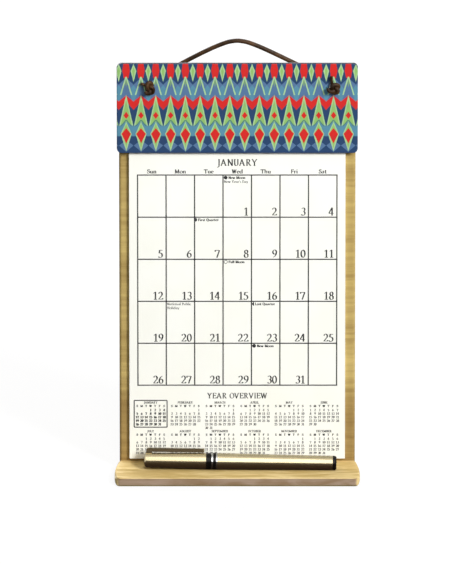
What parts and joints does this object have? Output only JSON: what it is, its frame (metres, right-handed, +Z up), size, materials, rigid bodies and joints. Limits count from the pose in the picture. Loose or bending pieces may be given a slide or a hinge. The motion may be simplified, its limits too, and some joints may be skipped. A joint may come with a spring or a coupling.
{
  "type": "wall calendar",
  "caption": "Wooden wall calendar holder with a patterned header panel, a laced pad of month sheets, a leather hanging loop and a ledge with a capped pen.",
  "frame": {"origin": "the point under the top of the lace loop where the wall nail bears", "axes": "+X to the right seen from the front, +Y towards the wall, +Z up"},
  "size_m": [0.182, 0.0491, 0.3344],
  "materials": {
    "board_wood": "sanded, clear oil",
    "ledge_wood": "sanded, clear oil",
    "nail_steel": "bright",
    "pad_paper": "uncoated, printed",
    "header_print": "printed hardboard, satin coat",
    "lace_leather": "waxed",
    "pen_gold": "satin champagne",
    "pen_black": "glossy",
    "pen_silver": "polished",
    "pen_ink": "plain"
  },
  "bodies": {
    "calendar_body": {"back_board": "board_wood", "pen_ledge": "ledge_wood", "ledge_nail_left": "nail_steel", "ledge_nail_middle": "nail_steel", "ledge_nail_right": "nail_steel", "calendar_pad": "pad_paper", "header_panel": "header_print", "hanging_lace": "lace_leather", "lace_knot_left": "lace_leather", "lace_knot_right": "lace_leather", "pen_barrel": "pen_gold", "pen_collar": "pen_silver", "pen_collar_ring": "pen_black", "pen_grip": "pen_black", "pen_tip": "pen_silver", "pen_refill": "pen_ink", "pen_end_plug": "pen_black"},
    "pen_cap_body": {"pen_cap": "pen_gold", "pen_clip": "pen_gold", "pen_lip_band": "pen_black"}
  },
  "joints": [
    {"name": "pen_cap_pull", "type": "slide", "parent": "calendar_body", "child": "pen_cap_body", "axis": [-0.9998, 0.0166, 0.01], "range_m": [0, 0.045]}
  ]
}
